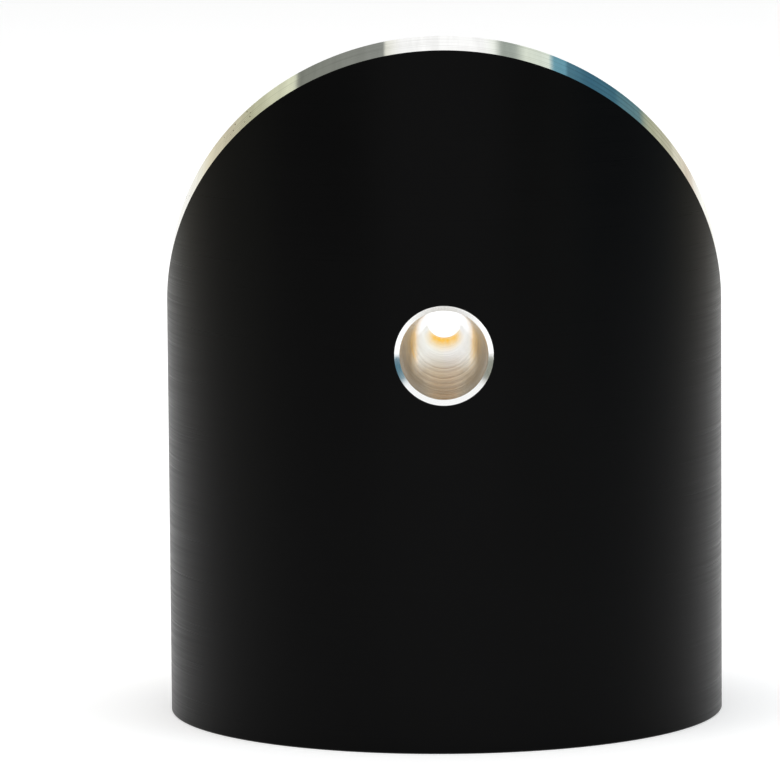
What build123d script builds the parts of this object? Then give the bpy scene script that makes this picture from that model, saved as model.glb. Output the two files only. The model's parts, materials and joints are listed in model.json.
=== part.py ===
from build123d import *

import os
from math import atan, cos, radians, tan

# Off-axis parabolic mirror, two inches across, with a through hole.
#
# The mirror turns a collimated beam through 90 degrees and brings it to a focus. It is one
# piece of aluminium: a round barrel whose top is machined to a piece of a paraboloid of
# revolution. The piece is taken from beside the paraboloid's own axis, so that the focus lies
# clear of the incoming beam. The barrel is anodised black. The bevel round the rim is bare
# metal, and the curved face is polished and coated.
#
# Units are millimetres. The origin is the middle of the base, and +Z runs up the barrel.
# The collimated beam comes down along -Z and meets the face at the mirror's centre, on the
# barrel's axis. The focused beam leaves along +Y. So the barrel's tall side faces -Y, and the
# through hole runs in from there to the mirror's centre, along the focused beam's line.

# Optics: the paraboloid is set by the distance from the mirror's centre to the focus.
reflected_focal_length = 101.6

# Barrel
barrel_diameter = 50.8
centre_height = 35.56

# Bevel round the rim: its top edge stands in from the wall, and its foot lies on the wall,
# by so much below the height that a sharp rim would have.
bevel_inset = 0.3
bevel_drop_at_tall_side = 1.63
bevel_drop_at_low_side = 2.34

# Through hole: it tapers from the barrel's wall to the mirror's centre, and goes on straight
# from there through the face.
hole_mouth_diameter = 8.0
hole_mouth_chamfer = 0.42
hole_exit_diameter = 3.0

# Base: three tapped holes on a circle, one of them below the tall side, and a blind hole for
# a locating pin, inside that circle and between the other two.
bolt_circle_diameter = 34.925
bolt_count = 3
tapped_hole_diameter = 3.454
tapped_hole_depth = 9.0
tapped_hole_countersink = 0.45
pin_hole_distance = 12.7
pin_hole_diameter = 3.175
pin_hole_depth = 5.0
pin_hole_chamfer = 0.2
drill_point_angle = 118.0

# A cutting tool runs past the surfaces that it cuts by this much.
tool_overrun = 5.0

# For a turn of 90 degrees, the paraboloid's own focal length is half the reflected one, and
# its axis stands beside the barrel's by the whole of it.
parent_focal_length = reflected_focal_length / 2
parent_axis_distance = reflected_focal_length

barrel_radius = barrel_diameter / 2
rim_radius = barrel_radius - bevel_inset


def height_over_circle(radius):
    """Height, over the barrel's middle, of the 45 degree plane in which the paraboloid meets
    an upright cylinder of this radius round the barrel's axis."""
    return centre_height + radius**2 / (4 * parent_focal_length)


def ellipse_on_slope(radius, middle_height, drop):
    """A face that is a circle of this radius seen from above. Its plane passes through the
    barrel's axis at middle_height, and falls by drop for each millimetre towards +Y."""
    slope = Plane(origin=(0, 0, middle_height), x_dir=(1, 0, 0), z_dir=(0, drop, 1))
    return slope * Ellipse(radius, radius / cos(atan(drop)))


def parent_dish():
    """All that lies inside the whole paraboloid, out to a circle past the barrel's tall side.
    A parabola from its vertex is a Bezier curve of three points, with no approximation."""
    reach = parent_axis_distance + barrel_radius + tool_overrun
    rise = reach**2 / (4 * parent_focal_length)
    vertex = Vector(0, 0, 0)
    edge = Vector(reach, 0, rise)
    parabola = Bezier(vertex, Vector(reach / 2, 0, 0), edge)
    half_section = make_face([parabola, Line(edge, (0, 0, rise)), Line((0, 0, rise), vertex)])
    dish = revolve(half_section, Axis.Z)
    return Pos(0, parent_axis_distance, centre_height - parent_focal_length) * dish


def blank():
    """The barrel with its sloping top and rim bevel, before the face is cut. The bevel is
    carried on above the rim as far as its foot lies below."""
    sharp_height = height_over_circle(barrel_radius)
    foot_height = sharp_height - (bevel_drop_at_tall_side + bevel_drop_at_low_side) / 2
    foot_drop = 1 - (bevel_drop_at_tall_side - bevel_drop_at_low_side) / barrel_diameter
    foot = ellipse_on_slope(barrel_radius, foot_height, foot_drop)

    top_radius = 2 * rim_radius - barrel_radius
    top_height = 2 * height_over_circle(rim_radius) - foot_height
    top_drop = (2 * rim_radius - foot_drop * barrel_radius) / top_radius
    top = ellipse_on_slope(top_radius, top_height, top_drop)

    above_foot = Plane(origin=(0, 0, foot_height), z_dir=(0, foot_drop, 1))
    wall = extrude(Circle(barrel_radius), foot_height + foot_drop * barrel_radius + tool_overrun)
    wall = split(wall, bisect_by=above_foot, keep=Keep.BOTTOM)
    return wall + loft([foot, top], ruled=True)


def through_hole():
    """What the tapered tool takes out, from outside the tall side to past the face. It is
    drawn as a half section beside the hole's axis, with the taper carried on outside. The
    turn puts the seam below, clear of where the straight part begins on the face."""
    mouth_radius = hole_mouth_diameter / 2
    exit_radius = hole_exit_diameter / 2
    taper = (mouth_radius - exit_radius) / barrel_radius
    outside = barrel_radius + tool_overrun
    past_face = exit_radius + tool_overrun
    half_section = Polyline(
        (0, -outside),
        (exit_radius + taper * outside, -outside),
        (exit_radius, 0),
        (exit_radius, past_face),
        (0, past_face),
        close=True,
    )
    taper_tool = revolve(make_face(half_section), Axis.Y)
    return Pos(0, 0, centre_height) * Rot(0, 90, 0) * taper_tool


def drilled_hole(diameter, depth, chamfer_width):
    """What a drill and a 90 degree countersink take out of the base, upward from Z = 0."""
    radius = diameter / 2
    point = radius / tan(radians(drill_point_angle / 2))
    half_section = Polyline(
        (0, 0, 0),
        (radius + chamfer_width, 0, 0),
        (radius, 0, chamfer_width),
        (radius, 0, depth),
        (0, 0, depth + point),
        close=True,
    )
    return revolve(make_face(half_section), Axis.Z)


def base_holes():
    """The tapped holes, evenly spaced from the tall side, and the pin hole opposite it."""
    tapped = drilled_hole(tapped_hole_diameter, tapped_hole_depth, tapped_hole_countersink)
    pin = drilled_hole(pin_hole_diameter, pin_hole_depth, pin_hole_chamfer)
    places = PolarLocations(bolt_circle_diameter / 2, bolt_count, start_angle=-90)
    return [place * tapped for place in places] + [Pos(0, pin_hole_distance, 0) * pin]


def mirror_substrate():
    """The whole mirror: blank, curved face, through hole and base holes."""
    body = blank() - parent_dish() - through_hole()
    curved_edges = body.edges().filter_by(GeomType.LINE, reverse=True)
    mouth = curved_edges.sort_by_distance((0, -barrel_radius, centre_height))[0]
    body = chamfer(mouth, hole_mouth_chamfer)
    for hole in base_holes():
        body -= hole
    return body


os.makedirs("parts", exist_ok=True)
export_step(mirror_substrate(), "parts/mirror_substrate.step")
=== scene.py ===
import json
import math

import bmesh
import bpy
from mathutils import Matrix, Vector
from mathutils.geometry import delaunay_2d_cdt


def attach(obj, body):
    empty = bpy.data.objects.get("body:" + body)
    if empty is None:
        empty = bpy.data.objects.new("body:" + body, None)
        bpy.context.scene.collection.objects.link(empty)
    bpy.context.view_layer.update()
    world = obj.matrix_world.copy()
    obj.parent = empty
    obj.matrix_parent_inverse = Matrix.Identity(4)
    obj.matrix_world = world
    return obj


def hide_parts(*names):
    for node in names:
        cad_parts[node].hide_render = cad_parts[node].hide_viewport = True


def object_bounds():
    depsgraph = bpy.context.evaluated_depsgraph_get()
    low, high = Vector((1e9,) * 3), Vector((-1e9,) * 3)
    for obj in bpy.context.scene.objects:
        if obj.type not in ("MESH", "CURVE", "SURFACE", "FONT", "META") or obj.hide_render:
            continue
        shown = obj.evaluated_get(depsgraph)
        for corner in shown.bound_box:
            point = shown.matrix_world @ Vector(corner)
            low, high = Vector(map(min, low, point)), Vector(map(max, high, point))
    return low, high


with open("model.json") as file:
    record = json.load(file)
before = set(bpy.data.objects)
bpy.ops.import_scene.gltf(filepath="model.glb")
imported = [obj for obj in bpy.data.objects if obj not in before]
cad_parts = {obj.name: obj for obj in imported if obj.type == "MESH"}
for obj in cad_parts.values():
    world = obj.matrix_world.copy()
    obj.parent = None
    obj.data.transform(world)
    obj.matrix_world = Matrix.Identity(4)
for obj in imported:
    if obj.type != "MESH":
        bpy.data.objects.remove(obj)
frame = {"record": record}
cad_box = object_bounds()

# The mirror is one piece, built here as one closed mesh whose points lie on the true barrel,
# bevel, paraboloid and holes. Everything is in metres, in the frame of the CAD model: the
# origin is the middle of the base, the barrel runs up +Z, and its tall side faces -Y.

MM = 0.001
MICRON = 0.000001
NODE = "mirror_substrate"
BODY = "root"

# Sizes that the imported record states
MOUNTS = {mount["name"]: mount for mount in frame["record"]["mounts"]}
BOLT_CIRCLE_RADIUS = MOUNTS["mounting_holes"]["dims"]["pcd_mm"] * MM / 2
BOLT_COUNT = MOUNTS["mounting_holes"]["dims"]["count"]
TAPPING_RADIUS = MOUNTS["mounting_holes"]["dims"]["hole_r_mm"] * MM
PIN_HOLE_Y = MOUNTS["locating_hole"]["pos_m"][1]
PIN_HOLE_RADIUS = MOUNTS["locating_hole"]["dims"]["r_mm"] * MM

# The optic and its rim
BARREL_RADIUS = (cad_box[1].x - cad_box[0].x) / 2
CENTRE_HEIGHT = 35.56 * MM
PARENT_FOCAL_LENGTH = 50.8 * MM
BEVEL_INSET = 0.3 * MM
RIM_RADIUS = BARREL_RADIUS - BEVEL_INSET
BEVEL_DROP_TALL = 1.63 * MM
BEVEL_DROP_LOW = 2.34 * MM
BASE_EDGE_BREAK = 0.08 * MM

# The through hole
MOUTH_RADIUS = 4.0 * MM
MOUTH_CHAMFER = 0.42 * MM
EXIT_RADIUS = 1.5 * MM

# The holes in the base
TAPPED_DEPTH = 9.0 * MM
TAPPED_CHAMFER = 0.45 * MM
PIN_DEPTH = 5.0 * MM
PIN_CHAMFER = 0.2 * MM
DRILL_POINT_ANGLE = math.radians(118)
DRILL_POINT_SLOPE = math.tan(DRILL_POINT_ANGLE / 2)
THREADS_PER_INCH = 32
THREAD_PITCH = 25.4 / THREADS_PER_INCH * MM
THREAD_DEPTH = 0.34 * MM
THREAD_LENGTH = 7.4 * MM

# Fineness of the mesh. The face's rings lie closer towards the hole's exit, by a power.
STEPS_ROUND = 256
WALL_ROWS = 72
SEAM_ROWS = 14
FACE_RINGS = 44
FACE_RING_POWER = 1.25
BEVEL_RINGS = 4
TAPER_RINGS = 30
TAPER_FROM = -24.6 * MM
TAPER_TO = -1.8 * MM
SMALL_STEPS = 40
STEPS_PER_THREAD = 10

# Rings of points round the mouth, each this much wider apart than the last, and how near the
# last of them the wall's own rows may come, in gaps between rings
MOUTH_RING_GROWTH = 1.35
MOUTH_RING_CLEARANCE = 0.7

# Points that agree to this many decimals of a millimetre are one
POINT_DECIMALS = 4

# How often a point of the hole's line is worked out again from the depth that it came to
HOLE_LINE_ROUNDS = 12

# What delaunay_2d_cdt is asked for: triangles inside the outline, with points this close joined
INSIDE_OUTLINE = 1
FLAT_TOLERANCE = 1e-9

# An edge stays sharp where a surface turns by more than this, or in the bore by more than that
CREASE = math.radians(35)
BORE_CREASE = math.radians(5)

ANODISED, BARE_BEVEL, CUT_EDGE, GOLD, BORED, BASE = range(6)
TURNS = [2 * math.pi * i / STEPS_ROUND - math.pi for i in range(STEPS_ROUND)]


class Skin:
    """A mesh as it is put together: points that faces share, and faces with a material."""

    def __init__(self):
        self.points = []
        self.index = {}
        self.faces = []
        self.slots = []

    def point(self, x, y, z):
        """The number of this point, which is made once."""
        key = tuple(round(value / MM, POINT_DECIMALS) for value in (x, y, z))
        if key not in self.index:
            self.index[key] = len(self.points)
            self.points.append((x, y, z))
        return self.index[key]

    def face(self, corners, slot):
        """A face, unless two of its corners are one point and too few are left."""
        corners = [c for i, c in enumerate(corners) if c != corners[i - 1]]
        if len(corners) > 2:
            self.faces.append(corners)
            self.slots.append(slot)

    def bands(self, rings, slot):
        """Quads from each closed ring of points to the next, which has as many."""
        rings = [[self.point(*p) for p in ring] for ring in rings]
        for low, high in zip(rings, rings[1:]):
            for i in range(len(low)):
                self.face([low[i - 1], low[i], high[i], high[i - 1]], slot)

    def cap(self, ring, tip, slot):
        """Triangles from a closed ring to one point."""
        ring = [self.point(*p) for p in ring]
        tip = self.point(*tip)
        for i in range(len(ring)):
            self.face([ring[i - 1], ring[i], tip], slot)

    def sheet(self, loops, free, lift, slot):
        """Triangles over a flat region. The first loop is the closed line round it, and each of
        the others goes round a hole in it. Free are the points inside it, and lift turns a flat
        point into one in space."""
        flat = [p for loop in loops for p in loop] + free
        owner = [k for k, loop in enumerate(loops) for _ in loop] + [0] * len(free)
        edges, first = [], 0
        for loop in loops:
            size = len(loop)
            edges += [(first + i, first + (i + 1) % size) for i in range(size)]
            first += size
        places = [Vector(p) for p in flat]
        cut = delaunay_2d_cdt(places, edges, [], INSIDE_OUTLINE, FLAT_TOLERANCE)
        triangles, sources = cut[2], [made_from[0] for made_from in cut[3]]
        numbers = [self.point(*lift(*flat[i])) for i in sources]
        owners = [owner[i] for i in sources]
        for corners in triangles:
            # A triangle with all its corners on one hole's line fills that hole.
            touched = {owners[i] for i in corners}
            if len(touched) > 1 or touched == {0}:
                self.face([numbers[i] for i in corners], slot)

    def mesh(self, name, materials):
        """The mesh itself, with its materials in the order of the slots."""
        mesh = bpy.data.meshes.new(name)
        mesh.from_pydata(self.points, [], self.faces)
        for material in materials:
            mesh.materials.append(material)
        mesh.polygons.foreach_set("material_index", self.slots)
        return mesh


def circle(radius, count, middle=(0.0, 0.0)):
    """Points round a circle, as pairs."""
    turns = (2 * math.pi * i / count for i in range(count))
    return [(middle[0] + radius * math.cos(a), middle[1] + radius * math.sin(a)) for a in turns]


def at_turn(radius, turn):
    """The pair of x and y at this distance from the barrel's axis, turned from the tall side."""
    return radius * math.sin(turn), -radius * math.cos(turn)


def wall_depth(x):
    """The barrel's wall on the tall side, at this x."""
    return -math.sqrt(BARREL_RADIUS**2 - x**2)


def rim_height(radius):
    """Height over the base's middle of the 45 degree plane that holds the paraboloid's points
    at this distance from the barrel's axis."""
    return CENTRE_HEIGHT + radius**2 / (4 * PARENT_FOCAL_LENGTH)


def foot_height(y):
    """Height of the bevel's foot, on the barrel's wall."""
    middle = rim_height(BARREL_RADIUS) - (BEVEL_DROP_TALL + BEVEL_DROP_LOW) / 2
    slope = 1 - (BEVEL_DROP_TALL - BEVEL_DROP_LOW) / (2 * BARREL_RADIUS)
    return middle - slope * y


def face_height(x, y):
    """Height of the paraboloid."""
    return CENTRE_HEIGHT - y + (x * x + y * y) / (4 * PARENT_FOCAL_LENGTH)


def hole_radius(y):
    """The hole tapers from the wall to the mirror's centre, and is straight from there on."""
    return EXIT_RADIUS + (MOUTH_RADIUS - EXIT_RADIUS) * max(0.0, -y / BARREL_RADIUS)


def hole_line(depth, wider=0.0):
    """A closed line round the hole. The depth is a function of x, y and the height over the
    hole's axis, and the line lies outside the hole's own surface by so much."""
    line = []
    for a in TURNS:
        y = 0.0
        for _ in range(HOLE_LINE_ROUNDS):
            radius = hole_radius(y) + wider
            x, rise = radius * math.sin(a), radius * math.cos(a)
            y = depth(x, y, rise)
        line.append((x, y, CENTRE_HEIGHT + rise))
    return line


def mouth_line():
    """The outer edge of the mouth's chamfer, on the barrel's wall."""
    return hole_line(lambda x, y, rise: wall_depth(x), MOUTH_CHAMFER)


def exit_depth(x, y, rise):
    """Where the paraboloid is, at this height over the hole's axis."""
    return (x * x + y * y) / (4 * PARENT_FOCAL_LENGTH) - rise


def add_wall(skin):
    """The barrel's wall, unrolled to a sheet as long as its girth, with the mouth cut out."""
    half = math.pi * BARREL_RADIUS
    across = [half * i * 2 / STEPS_ROUND - half for i in range(STEPS_ROUND + 1)]

    def lift(s, z):
        return (*at_turn(BARREL_RADIUS, s / BARREL_RADIUS), z)

    def foot(s):
        return foot_height(at_turn(BARREL_RADIUS, s / BARREL_RADIUS)[1])

    def unrolled(x, z):
        return BARREL_RADIUS * math.asin(x / BARREL_RADIUS), z

    low, low_side, tall_side = BASE_EDGE_BREAK, foot(half), foot(0.0)
    seam = [low + (low_side - low) * i / SEAM_ROWS for i in range(1, SEAM_ROWS)]
    outline = [(s, low) for s in across] + [(half, z) for z in seam]
    outline += [(s, foot(s)) for s in reversed(across)] + [(-half, z) for z in reversed(seam)]
    mouth = [unrolled(x, z) for x, _, z in mouth_line()]

    free, row = [], (tall_side - low) / WALL_ROWS
    radius = MOUTH_RADIUS + MOUTH_CHAMFER
    gap = 2 * math.pi * radius / STEPS_ROUND
    while gap < row:
        radius += gap
        for x, z in circle(radius, round(2 * math.pi * radius / gap), (0.0, CENTRE_HEIGHT)):
            free.append(unrolled(x, z))
        gap *= MOUTH_RING_GROWTH
    reach = radius + MOUTH_RING_CLEARANCE * gap
    for j in range(1, WALL_ROWS):
        z = low + row * j
        for s in across[1:-1]:
            if z < foot(s) - row / 2 and math.hypot(s, z - CENTRE_HEIGHT) >= reach:
                free.append((s, z))
    skin.sheet([outline, mouth], free, lift, ANODISED)


def add_bevel(skin):
    """The bare bevel, from its foot on the wall up to the paraboloid."""
    rings = []
    for k in range(BEVEL_RINGS + 1):
        share = k / BEVEL_RINGS
        radius = BARREL_RADIUS - BEVEL_INSET * share
        ring = []
        for a in TURNS:
            low = foot_height(at_turn(BARREL_RADIUS, a)[1])
            high = rim_height(RIM_RADIUS) - at_turn(RIM_RADIUS, a)[1]
            ring.append((*at_turn(radius, a), low + (high - low) * share))
        rings.append(ring)
    skin.bands(rings, BARE_BEVEL)


def add_face(skin):
    """The paraboloid, in rings that close in from the rim to the hole's exit."""
    inner = hole_line(exit_depth)
    rings = []
    for k in range(FACE_RINGS + 1):
        share = (1 - k / FACE_RINGS) ** FACE_RING_POWER
        ring = []
        for a, (x0, y0, _) in zip(TURNS, inner):
            x1, y1 = at_turn(RIM_RADIUS, a)
            x, y = x0 + (x1 - x0) * share, y0 + (y1 - y0) * share
            ring.append((x, y, face_height(x, y)))
        rings.append(ring)
    skin.bands(rings, GOLD)


def add_bore(skin):
    """The through hole: its chamfered mouth, its taper, and its straight end."""
    rings = [mouth_line()]
    rings.append(hole_line(lambda x, y, rise: wall_depth(x) + MOUTH_CHAMFER))
    for k in range(TAPER_RINGS + 1):
        depth = TAPER_FROM + (TAPER_TO - TAPER_FROM) * k / TAPER_RINGS
        rings.append(hole_line(lambda x, y, rise: depth))
    rings.append(hole_line(lambda x, y, rise: min(0.0, exit_depth(x, y, rise))))
    rings.append(hole_line(exit_depth))
    skin.bands(rings[:2], CUT_EDGE)
    skin.bands(rings[1:], BORED)


def thread_radius(height, turn):
    """Radius of a tapped hole's thread, which runs out over its last turn."""
    if height > THREAD_LENGTH:
        return TAPPING_RADIUS
    phase = height / THREAD_PITCH - turn / (2 * math.pi)
    fade = min(1.0, (THREAD_LENGTH - height) / THREAD_PITCH)
    return TAPPING_RADIUS + THREAD_DEPTH * fade * (0.5 - 0.5 * math.cos(2 * math.pi * phase))


def add_tapped_hole(skin, x, y):
    """A tapped hole with its thread, and the cone that the drill leaves. The thread cuts into
    the countersink, but not into its rim, which is round. Returns the rim."""
    turns = [2 * math.pi * i / SMALL_STEPS for i in range(SMALL_STEPS)]
    step = THREAD_PITCH / STEPS_PER_THREAD
    heights = [step * i for i in range(1, round(THREAD_LENGTH / step) + 1)] + [TAPPED_DEPTH]
    rim_radius = TAPPING_RADIUS + TAPPED_CHAMFER
    rings = [[(x + rim_radius * math.cos(a), y + rim_radius * math.sin(a), 0.0) for a in turns]]
    for height in heights:
        ring = []
        for a in turns:
            radius = max(rim_radius - height, thread_radius(height, a))
            ring.append((x + radius * math.cos(a), y + radius * math.sin(a), height))
        rings.append(ring)
    skin.bands(rings, BASE)
    skin.cap(rings[-1], (x, y, TAPPED_DEPTH + TAPPING_RADIUS / DRILL_POINT_SLOPE), BASE)
    return [p[:2] for p in rings[0]]


def add_pin_hole(skin, x, y):
    """The blind hole for a locating pin. Returns its rim."""
    rings = []
    for radius, height in (
        (PIN_HOLE_RADIUS + PIN_CHAMFER, 0.0),
        (PIN_HOLE_RADIUS, PIN_CHAMFER),
        (PIN_HOLE_RADIUS, PIN_DEPTH),
    ):
        rings.append([(*p, height) for p in circle(radius, SMALL_STEPS, (x, y))])
    skin.bands(rings, BASE)
    skin.cap(rings[-1], (x, y, PIN_DEPTH + PIN_HOLE_RADIUS / DRILL_POINT_SLOPE), BASE)
    return [p[:2] for p in rings[0]]


def add_base(skin):
    """The base, its broken edge, and the holes in it."""
    outline = [at_turn(BARREL_RADIUS - BASE_EDGE_BREAK, a) for a in TURNS]
    wall = [at_turn(BARREL_RADIUS, a) for a in TURNS]
    broken_edge = [[(*p, 0.0) for p in outline], [(*p, BASE_EDGE_BREAK) for p in wall]]
    skin.bands(broken_edge, BASE)
    loops = [outline]
    for i in range(BOLT_COUNT):
        place = at_turn(BOLT_CIRCLE_RADIUS, 2 * math.pi * i / BOLT_COUNT)
        loops.append(add_tapped_hole(skin, *place))
    loops.append(add_pin_hole(skin, 0.0, PIN_HOLE_Y))
    skin.sheet(loops, [], lambda x, y: (x, y, 0.0), BASE)


class Nodes:
    """Short ways to add nodes to a tree. An input is a socket to link or a value to set."""

    def __init__(self, tree):
        self.tree = tree

    def add(self, kind, inputs=(), output=0, **settings):
        node = self.tree.nodes.new(kind)
        for name, value in settings.items():
            setattr(node, name, value)
        for name, value in dict(inputs).items():
            self.feed(node.inputs[name], value)
        return node.outputs[output]

    def feed(self, socket, value):
        if isinstance(value, bpy.types.NodeSocket):
            self.tree.links.new(value, socket)
        else:
            socket.default_value = value

    def math(self, operation, a, b=0.0):
        return self.add("ShaderNodeMath", {0: a, 1: b}, operation=operation)

    def vector(self, operation, a, b=(0.0, 0.0, 0.0), output="Vector"):
        return self.add("ShaderNodeVectorMath", {0: a, 1: b}, output, operation=operation)

    def place(self):
        """Object coordinates, which are the frame's own, in metres."""
        return self.add("ShaderNodeTexCoord", output="Object")

    def along(self, axis, vector=None):
        """One of a vector's three numbers, X, Y or Z, or of the place's if there is none."""
        vector = self.place() if vector is None else vector
        return self.add("ShaderNodeSeparateXYZ", {0: vector}, axis)

    def ray(self, kind):
        """1 for a ray of this kind, otherwise 0."""
        return self.add("ShaderNodeLightPath", output=f"Is {kind} Ray")

    def noise_at(self, place, scale, detail, roughness=0.5):
        """Noise from 0 to 1, with features of about 1 / scale."""
        inputs = {"Vector": place, "Scale": scale, "Detail": detail, "Roughness": roughness}
        return self.add("ShaderNodeTexNoise", inputs, "Fac")

    def noise(self, scale, detail=2.0, roughness=0.5):
        """Noise from 0 to 1, with features of about 1 / scale metres along each axis."""
        place = self.add("ShaderNodeMapping", {"Vector": self.place(), "Scale": scale})
        return self.noise_at(place, 1.0, detail, roughness)

    def ring_noise(self, middle, scale, detail=2.0):
        """Noise in rings round the upright axis through this place."""
        away = self.vector("SUBTRACT", self.place(), middle)
        level = self.vector("MULTIPLY", away, (1, 1, 0))
        radius = self.vector("LENGTH", level, output="Value")
        return self.noise_at(self.add("ShaderNodeCombineXYZ", {"X": radius}), scale, detail)

    def span(self, value, low, high, to_low=0.0, to_high=1.0):
        """The value, turned from one range into another and held inside it."""
        inputs = {"Value": value, 1: low, 2: high, 3: to_low, 4: to_high}
        return self.add("ShaderNodeMapRange", inputs)

    def blend(self, share, a, b):
        """A colour from a to b."""
        inputs = {0: share, 6: a, 7: b}
        return self.add("ShaderNodeMix", inputs, 2, data_type="RGBA")

    def bump(self, height, distance, strength, below=None):
        inputs = {"Height": height, "Distance": distance, "Strength": strength}
        if below is not None:
            inputs["Normal"] = below
        return self.add("ShaderNodeBump", inputs)


def finish(name, build):
    """A material whose shader gets the inputs that build returns."""
    material = bpy.data.materials.new(name)
    material.use_nodes = True
    nodes = Nodes(material.node_tree)
    shader = material.node_tree.nodes["Principled BSDF"]
    for socket, value in build(nodes).items():
        nodes.feed(shader.inputs[socket], value)
    return material


def grey(value):
    """A colour without a hue."""
    return (value, value, value, 1.0)


WHITE = grey(1.0)

# The scale of a noise is in features per metre, along each axis. Tool marks run round the
# barrel's wall, and the anodising is a little uneven.
WALL_MARKS = (60, 60, 9000)
ANODISING_CLOUD = (90, 90, 60)


def anodised(nodes):
    """Matte black anodising over a turned wall, whose tool marks run round it."""
    turning = nodes.noise(WALL_MARKS, 3.0)
    cloud = nodes.noise(ANODISING_CLOUD, 3.0)
    return {
        "Base Color": nodes.blend(cloud, (0.0012, 0.0012, 0.0013, 1), (0.0022, 0.0022, 0.0023, 1)),
        "Roughness": nodes.span(turning, 0.3, 0.7, 0.27, 0.36),
        "Specular IOR Level": 0.05,
        "Normal": nodes.bump(turning, 2 * MICRON, 0.6),
    }


# The bevel's lines, in features per metre along the rim and across it, and its pits: how many
# there are per metre, how wide against their spacing, and from where to where they come in
LINES_ALONG = 40.0
LINES_ACROSS = 8500.0
PITS_PER_METRE = 2200.0
PIT_WIDTH = 0.17
PITS_FULL_X = -16 * MM
PITS_NONE_X = -12 * MM


def bare_bevel(nodes):
    """The bare bevel: fine lines along the rim from the tool, faint chatter across them, and a
    few small pits on the left."""
    x, y, z = (nodes.along(axis) for axis in "XYZ")
    across = nodes.math("MULTIPLY", nodes.math("ADD", y, z), LINES_ACROSS)
    along = nodes.math("MULTIPLY", x, LINES_ALONG)
    lines = nodes.noise_at(nodes.add("ShaderNodeCombineXYZ", {"X": across, "Y": along}), 1.0, 3.0)
    chatter = nodes.span(nodes.noise((900, 900, 0), 3.0), 0.4, 0.6)
    worn = nodes.span(nodes.noise((130, 130, 130)), 0.4, 0.6, 0.15)
    marked = nodes.math("MULTIPLY", nodes.span(lines, 0.5, 0.68), worn)
    clean = nodes.blend(chatter, (0.91, 0.91, 0.90, 1), (1.0, 1.0, 0.99, 1))
    metal = nodes.blend(marked, clean, (0.70, 0.70, 0.68, 1))
    inputs = {"Vector": nodes.place(), "Scale": PITS_PER_METRE}
    from_pit = nodes.add("ShaderNodeTexVoronoi", inputs, "Distance")
    pitted = nodes.span(x, PITS_FULL_X, PITS_NONE_X, PIT_WIDTH, 0.0)
    pit_size = nodes.math("MULTIPLY", pitted, nodes.span(worn, 0.3, 0.9))
    pit = nodes.math("LESS_THAN", from_pit, pit_size)
    return {
        "Base Color": nodes.blend(pit, metal, (0.30, 0.28, 0.24, 1)),
        "Metallic": 1.0,
        "Roughness": nodes.span(marked, 0.0, 1.0, 0.025, 0.09),
        "Normal": nodes.bump(lines, 2 * MICRON, 0.4),
    }


def cut_edge(nodes):
    """The bare chamfer at the hole's mouth, which a small cutter left a little rougher."""
    marks = nodes.noise((1500, 1500, 1500))
    return {
        "Base Color": nodes.blend(marks, (0.92, 0.93, 0.93, 1), (1.0, 1.0, 0.99, 1)),
        "Metallic": 1.0,
        "Roughness": nodes.span(marks, 0.3, 0.7, 0.19, 0.25),
        "Normal": nodes.bump(marks, 2 * MICRON, 0.4),
    }


# The diamond tool ran round the paraboloid's own axis, and left so many marks per metre
PARENT_AXIS = (0, 2 * PARENT_FOCAL_LENGTH, 0)
DIAMOND_MARKS = 1800.0


def gold(nodes):
    """The polished gold coating, over the faint marks of the diamond tool, and with traces of
    cleaning."""
    haze = nodes.noise((110, 110, 110), 4.0)
    marks = nodes.ring_noise(PARENT_AXIS, DIAMOND_MARKS, 4.0)
    hazy = nodes.span(haze, 0.35, 0.75, 0.03, 0.065)
    rougher = nodes.span(marks, 0.45, 0.7, 0.0, 0.03)
    return {
        "Base Color": nodes.blend(marks, (0.96, 0.69, 0.27, 1), (1.0, 0.76, 0.34, 1)),
        "Metallic": 1.0,
        "Roughness": nodes.math("ADD", hazy, rougher),
    }


# Where the bore's finish and its painted shade change. Depths run along Y, from the mouth's side
# up to 0 at the mirror's centre. Each zone has the place where it starts and the place where it is
# full or over. The painted shade on the sides, darker metal outside the bright U that the exit's
# reflection makes, reaches further in below a height, by so much for each unit of height.
RINGED = (-22.8 * MM, -22.4 * MM)
RINGED_AT_MOUTH = 0.45
PAINTED_SIDE_SHADE = (-15.8 * MM, -11.2 * MM)
PAINTED_SIDE_SHADE_TOP = CENTRE_HEIGHT - 0.5 * MM
PAINTED_SIDE_SHADE_LEAN = 3.2
PAINTED_BOTTOM_SHADE = (-15 * MM, -3.0 * MM)
PAINTED_BOTTOM_SHADE_HEIGHTS = (CENTRE_HEIGHT - 2.6 * MM, CENTRE_HEIGHT - 1.6 * MM)
COATED = (-6.5 * MM, -0.8 * MM)
COATED_HEIGHTS = (CENTRE_HEIGHT - 1.35 * MM, CENTRE_HEIGHT - 0.5 * MM)
COATED_POWER = 1.8

# The bore's colours, each between the tool's rings and on them, and how its metal is tinted
# where it is seen at a glancing angle. The sides and the bottom are painted shade: darker
# metal, with tints that dim their glancing reflections, where the walls reflect darker
# surroundings than the exit.
BRIGHT_BORE = ((0.94, 0.935, 0.92, 1), (0.80, 0.79, 0.78, 1))
SHADED_BOTTOM = ((0.62, 0.54, 0.44, 1), (0.38, 0.32, 0.25, 1))
SHADED_SIDES = ((0.42, 0.385, 0.33, 1), (0.28, 0.25, 0.21, 1))
SHADED_BOTTOM_TINT = (0.78, 0.70, 0.60, 1)
SHADED_SIDES_TINT = (0.60, 0.56, 0.51, 1)
COATING = (1.0, 0.60, 0.11, 1)
COATING_TINT = (1.0, 0.74, 0.25, 1)


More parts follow.
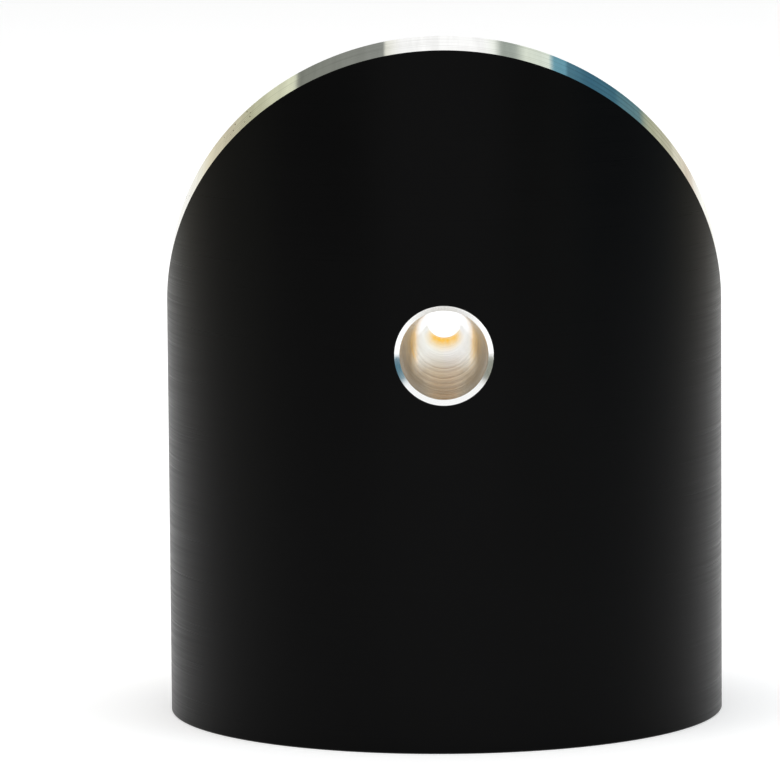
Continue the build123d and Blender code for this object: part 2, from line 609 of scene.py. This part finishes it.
def bored(nodes):
    """The bored hole. Its metal is left bright near its exit, and is painted darker towards its
    mouth, most of all on its sides and at its bottom: painted shade, which draws part of the
    bright U that the exit's reflection makes. The tool left rings in it. Gold fell in with the
    coating, on the lower wall just inside the exit."""
    depth, height = nodes.along("Y"), nodes.along("Z")
    rings = nodes.span(nodes.noise((20, 2000, 20), 4.0, 0.6), 0.38, 0.64)
    rings = nodes.math("MULTIPLY", rings, nodes.span(depth, *RINGED, RINGED_AT_MOUTH))
    fine = nodes.noise((20, 7000, 20))

    # Painted shade: the sides, and the bottom short of the exit, turn to darker metal with duller
    # glancing tints, in the shape of the bright U that the exit's reflection makes.
    lower = nodes.math("MAXIMUM", nodes.math("SUBTRACT", PAINTED_SIDE_SHADE_TOP, height), 0.0)
    lower = nodes.math("MULTIPLY", lower, PAINTED_SIDE_SHADE_LEAN)
    side_shade = nodes.span(nodes.math("ADD", depth, lower), *PAINTED_SIDE_SHADE, 1.0, 0.0)
    bottom_shade = nodes.math(
        "MULTIPLY",
        nodes.span(depth, *PAINTED_BOTTOM_SHADE, 1.0, 0.0),
        nodes.span(height, *PAINTED_BOTTOM_SHADE_HEIGHTS, 1.0, 0.0),
    )
    # Bright metal where the exit's reflection falls, and painted shade on the sides and at the
    # bottom.
    upper = nodes.blend(rings, *BRIGHT_BORE)
    bottom = nodes.blend(rings, *SHADED_BOTTOM)
    sides = nodes.blend(rings, *SHADED_SIDES)
    metal = nodes.blend(side_shade, nodes.blend(bottom_shade, upper, bottom), sides)
    tint = nodes.blend(side_shade, nodes.blend(bottom_shade, WHITE, SHADED_BOTTOM_TINT), SHADED_SIDES_TINT)

    inward = nodes.math("POWER", nodes.span(depth, *COATED), COATED_POWER)
    below = nodes.span(height, *COATED_HEIGHTS, 1.0, 0.0)
    streaks = nodes.span(nodes.noise((2500, 150, 2500)), 0.35, 0.6, 0.78)
    coated = nodes.math("MULTIPLY", nodes.math("MULTIPLY", inward, below), streaks)
    return {
        "Base Color": nodes.blend(coated, metal, COATING),
        "Metallic": 1.0,
        "Roughness": nodes.span(rings, 0.0, 1.0, 0.09, 0.18),
        "Specular Tint": nodes.blend(coated, tint, COATING_TINT),
        "Normal": nodes.bump(rings, 26 * MICRON, 0.6, nodes.bump(fine, 3 * MICRON, 0.6)),
    }


FACING_MARKS = 7000.0


def base_finish(nodes):
    """Black anodising over a faced base, whose tool marks are rings round its middle."""
    rings = nodes.ring_noise((0, 0, 0), FACING_MARKS)
    cloud = nodes.noise(ANODISING_CLOUD, 3.0)
    return {
        "Base Color": nodes.blend(cloud, (0.0035, 0.0035, 0.0037, 1), (0.0062, 0.0062, 0.0064, 1)),
        "Roughness": nodes.span(rings, 0.3, 0.7, 0.30, 0.45),
        "Specular IOR Level": 0.2,
        "Normal": nodes.bump(rings, 3 * MICRON, 0.6),
    }


# Each finish of the mirror, in the order of the slots
FINISHES = {
    "black_anodised_wall": anodised,
    "bare_bevel": bare_bevel,
    "cut_edge": cut_edge,
    "polished_gold": gold,
    "bored_aluminium": bored,
    "black_anodised_base": base_finish,
}


def add_object(name, data):
    """An object in the scene, which shows this data."""
    added = bpy.data.objects.new(name, data)
    bpy.context.scene.collection.objects.link(added)
    return added


def is_crease(edge):
    """An edge stays sharp between two finishes, and where a surface turns sharply."""
    slots = {face.material_index for face in edge.link_faces}
    limit = BORE_CREASE if slots == {BORED} else CREASE
    return len(slots) > 1 or edge.calc_face_angle() > limit


def make_mirror():
    """The mirror as one object, with a material for each kind of surface."""
    skin = Skin()
    for add in (add_wall, add_bevel, add_face, add_bore, add_base):
        add(skin)
    materials = [finish(name, build) for name, build in FINISHES.items()]
    mesh = skin.mesh("finished_mirror", materials)
    work = bmesh.new()
    work.from_mesh(mesh)
    bmesh.ops.recalc_face_normals(work, faces=work.faces)
    for edge in work.edges:
        edge.smooth = not is_crease(edge)
    for face in work.faces:
        face.smooth = True
    work.to_mesh(mesh)
    work.free()
    return add_object("finished_mirror", mesh)


# The camera of the photograph: it stands off from a point on the barrel's axis by this much,
# and it is turned a little from looking straight at that point.
AIM = Vector((0.0, 0.0, 30 * MM))
CAMERA_DISTANCE = 614.342 * MM
CAMERA_ELEVATION = 0.123021961
CAMERA_AZIMUTH = 0.00159832
CAMERA_PAN = -0.00817521
CAMERA_TILT = -0.00096185
CAMERA_ROLL = -0.00673433
CAMERA_CLIP_START = 10 * MM
FOCAL_PIXELS = 6685.125
IMAGE_PIXELS = 780
SENSOR_WIDTH = 36.0


def make_camera():
    """The camera, at the photograph's angle."""
    x, y = at_turn(math.cos(CAMERA_ELEVATION), CAMERA_AZIMUTH)
    away = Vector((x, y, math.sin(CAMERA_ELEVATION)))
    right = (-away).cross(Vector((0, 0, 1))).normalized()
    up = right.cross(-away)
    ahead = (-away + right * math.tan(CAMERA_PAN) + up * math.tan(CAMERA_TILT)).normalized()
    right = ahead.cross(up).normalized()
    up = right.cross(ahead)
    turned_right = right * math.cos(CAMERA_ROLL) + up * math.sin(CAMERA_ROLL)
    turned_up = up * math.cos(CAMERA_ROLL) - right * math.sin(CAMERA_ROLL)
    turn = Matrix((turned_right, turned_up, -ahead)).transposed().to_4x4()
    data = bpy.data.cameras.new("photo_camera")
    data.sensor_width = SENSOR_WIDTH
    data.lens = FOCAL_PIXELS * SENSOR_WIDTH / IMAGE_PIXELS
    data.clip_start = CAMERA_CLIP_START
    camera = add_object("photo_camera", data)
    camera.matrix_world = Matrix.Translation(AIM + away * CAMERA_DISTANCE) @ turn
    bpy.context.scene.camera = camera


# The floor lies a little below the base, so that the two don't meet. It glows by so much
# where it is seen or reflected.
FLOOR_RADIUS = 4.0
FLOOR_STEPS = 96
FLOOR_GAP = 0.02 * MM
FLOOR_GLOW = 0.28


def floor_finish(nodes):
    """Plain pale paper, which looks whiter where it is seen than the light that it gives."""
    grain = nodes.noise((900, 900, 900))
    seen = nodes.math("MAXIMUM", nodes.ray("Camera"), nodes.ray("Glossy"))
    return {
        "Base Color": nodes.blend(grain, grey(0.85), grey(0.87)),
        "Roughness": 0.9,
        "Specular IOR Level": 0.1,
        "Emission Color": WHITE,
        "Emission Strength": nodes.math("MULTIPLY", seen, FLOOR_GLOW),
    }


def make_floor():
    """The floor, a plain pale disc."""
    work = bmesh.new()
    bmesh.ops.create_circle(work, cap_ends=True, radius=FLOOR_RADIUS, segments=FLOOR_STEPS)
    mesh = bpy.data.meshes.new("floor")
    work.to_mesh(mesh)
    work.free()
    mesh.materials.append(finish("pale_floor", floor_finish))
    floor = add_object("floor", mesh)
    floor.location.z = -FLOOR_GAP


# The world's light, and a card in it that is seen only in reflections: its colour, and where
# it begins and is full, as the far and the upward part of the direction towards it
AMBIENT = 0.55
FAR_CARD = (0.42, 0.39, 0.36, 1)
FAR_CARD_SIDE = (0.05, 0.6)
FAR_CARD_HEIGHT = (0.48, 0.7)


def make_world():
    """White where it is seen, and a soft even light. Where it is reflected, it is white too,
    but for a grey card high up on the far side, which gives the gold face its depth."""
    world = bpy.data.worlds.new("studio")
    bpy.context.scene.world = world
    world.use_nodes = True
    world.cycles.sampling_method = "NONE"
    nodes = Nodes(world.node_tree)
    towards = nodes.add("ShaderNodeTexCoord", output="Generated")
    far = nodes.span(nodes.along("Y", towards), *FAR_CARD_SIDE)
    high = nodes.span(nodes.along("Z", towards), *FAR_CARD_HEIGHT)
    reflected = nodes.blend(nodes.math("MULTIPLY", far, high), WHITE, FAR_CARD)
    colour = nodes.blend(nodes.ray("Glossy"), grey(AMBIENT), reflected)
    background = world.node_tree.nodes["Background"]
    nodes.feed(background.inputs["Color"], nodes.blend(nodes.ray("Camera"), colour, WHITE))
    nodes.feed(background.inputs["Strength"], 1.0)


# Cards that stand in a ring round the object, and show only in its reflections. Each colour
# is at so many degrees from the camera's side, positive to the right.
CARDS = (
    (-180, (1.0, 1.0, 1.0)),
    (-146, (0.98, 0.97, 0.92)),
    (-136, (0.88, 0.86, 0.76)),
    (-127, (0.70, 0.65, 0.49)),
    (-112, (0.54, 0.50, 0.37)),
    (-98, (0.48, 0.48, 0.33)),
    (-76, (0.70, 0.72, 0.54)),
    (-74, (0.56, 0.58, 0.46)),
    (-72.8, (0.20, 0.21, 0.18)),
    (-29, (0.25, 0.26, 0.24)),
    (-28, (0.78, 0.78, 0.70)),
    (-20, (1.0, 1.0, 1.0)),
    (20, (1.0, 1.0, 1.0)),
    (26, (0.85, 0.88, 0.82)),
    (30, (0.34, 0.38, 0.34)),
    (36, (0.35, 0.39, 0.35)),
    (42, (0.70, 0.75, 0.65)),
    (53.8, (0.72, 0.79, 0.70)),
    (55.4, (0.15, 0.34, 0.42)),
    (61.8, (0.14, 0.33, 0.42)),
    (63, (0.075, 0.185, 0.245)),
    (75, (0.045, 0.135, 0.20)),
    (89, (0.055, 0.15, 0.205)),
    (90.5, (0.085, 0.195, 0.24)),
    (102.5, (0.12, 0.22, 0.24)),
    (105, (0.28, 0.33, 0.26)),
    (110, (0.43, 0.44, 0.31)),
    (123, (0.51, 0.49, 0.37)),
    (126, (0.69, 0.67, 0.54)),
    (137, (0.68, 0.60, 0.49)),
    (148, (1.0, 1.0, 0.95)),
)
CARD_DISTANCE = 0.35
CARD_HEIGHT = 0.27
CARD_FADE = 0.07
CARD_STEPS = 180


def card_light(nodes):
    """The cards' colours round the ring, which fade to white at its top."""
    x, y, z = (nodes.along(axis) for axis in "XYZ")
    turn = nodes.math("ARCTAN2", x, nodes.math("MULTIPLY", y, -1.0))
    ramp = nodes.tree.nodes.new("ShaderNodeValToRGB")
    nodes.feed(ramp.inputs[0], nodes.span(turn, -math.pi, math.pi))
    stops = ramp.color_ramp.elements
    stops.remove(stops[0])
    for i, (degrees, colour) in enumerate(CARDS):
        position = (degrees + 180) / 360
        stop = stops[0] if i == 0 else stops.new(position)
        stop.position = position
        stop.color = (*colour, 1)
    top = nodes.span(z, CARD_HEIGHT - CARD_FADE, CARD_HEIGHT)
    return {
        "Base Color": grey(0.0),
        "Specular IOR Level": 0.0,
        "Emission Color": nodes.blend(top, ramp.outputs[0], WHITE),
        "Emission Strength": 1.0,
    }


def make_cards():
    """The ring of cards."""
    ring = circle(CARD_DISTANCE, CARD_STEPS)
    skin = Skin()
    skin.bands([[(*p, height) for p in ring] for height in (0.0, CARD_HEIGHT)], 0)
    light = finish("card_light", card_light)
    light.cycles.emission_sampling = "NONE"
    cards = add_object("cards", skin.mesh("cards", [light]))
    cards.visible_camera = False
    cards.visible_diffuse = False
    cards.visible_transmission = False
    cards.visible_volume_scatter = False
    cards.visible_shadow = False


# Soft lamps: name, place, size, power in watts, and colour
LAMPS = (
    ("overhead", (0.0, -0.1, 1.3), 1.3, 9.0, (1.0, 1.0, 1.0)),
    ("left", (-1.1, -0.7, 0.7), 0.8, 4.0, (1.0, 0.97, 0.92)),
    ("right", (1.1, -0.7, 0.7), 0.8, 4.0, (0.86, 0.93, 1.0)),
)


def make_lamps():
    """The lamps, which all face the camera's aim, and show in no reflection."""
    for name, place, size, power, colour in LAMPS:
        data = bpy.data.lights.new(name, "AREA")
        data.shape = "DISK"
        data.size = size
        data.energy = power
        data.color = colour
        lamp = add_object(name, data)
        lamp.visible_camera = False
        lamp.visible_glossy = False
        lamp.location = place
        lamp.rotation_euler = (AIM - Vector(place)).to_track_quat("-Z", "Y").to_euler()


make_camera()
make_world()
make_lamps()
make_floor()
make_cards()

mirror = make_mirror()
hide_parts(NODE)
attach(mirror, BODY)

bpy.context.scene.view_settings.view_transform = "Standard"
